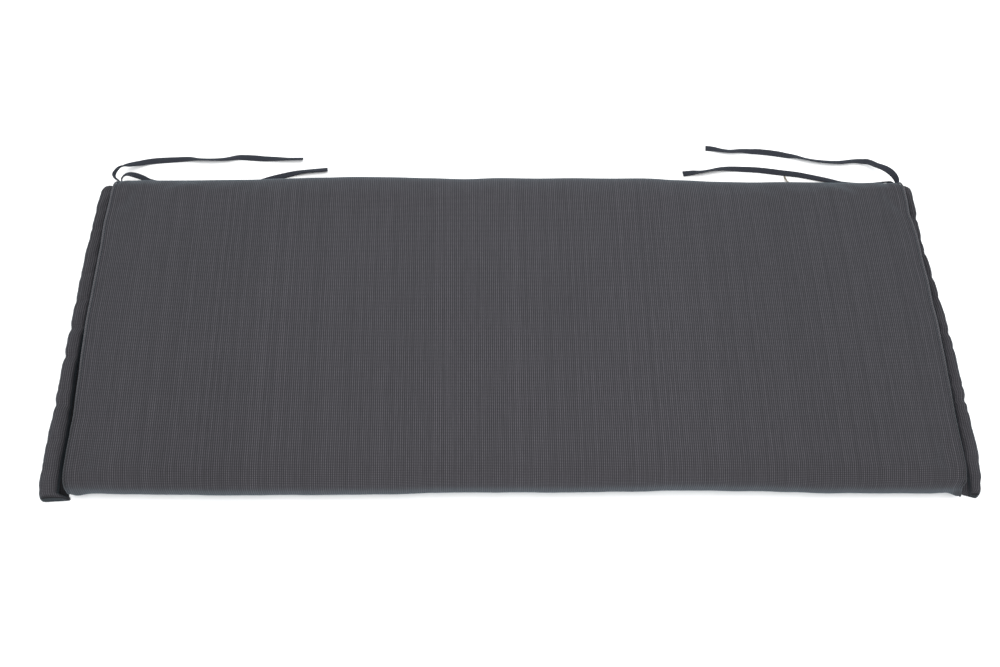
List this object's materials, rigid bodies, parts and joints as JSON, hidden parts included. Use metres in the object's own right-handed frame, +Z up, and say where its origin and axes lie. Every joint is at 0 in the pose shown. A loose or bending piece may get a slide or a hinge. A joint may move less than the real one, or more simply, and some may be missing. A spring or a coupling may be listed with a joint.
{
  "type": "bench cushion",
  "caption": "Long thin filled seat pad in dark woven cloth, with a soft flap along each short side and flat ties at its back corners.",
  "frame": {"origin": "on the surface that the cushion lies on, under the middle of the pad", "axes": "+X along the cushion's length, to the right; +Y towards the back edge that has the ties; +Z up"},
  "size_m": [1.2778, 0.6024, 0.054],
  "materials": {
    "cover_cloth": "matt woven polyester, anthracite with lighter threads",
    "seam_welt": "the same cloth folded over the seam, a little lighter",
    "flap_cloth": "matt woven polyester, softly gathered",
    "tie_band": "flat woven band, dark charcoal, matt",
    "tab_band": "narrow woven tongue, dark beige"
  },
  "bodies": {
    "root": {"pad": "cover_cloth", "end_welt_left": "seam_welt", "end_welt_right": "seam_welt", "side_flap_left": "flap_cloth", "side_flap_right": "flap_cloth", "tie_left_long": "tie_band", "tie_left_low": "tie_band", "tie_right_long": "tie_band", "tie_right_low": "tie_band", "back_tab": "tab_band"}
  },
  "joints": []
}
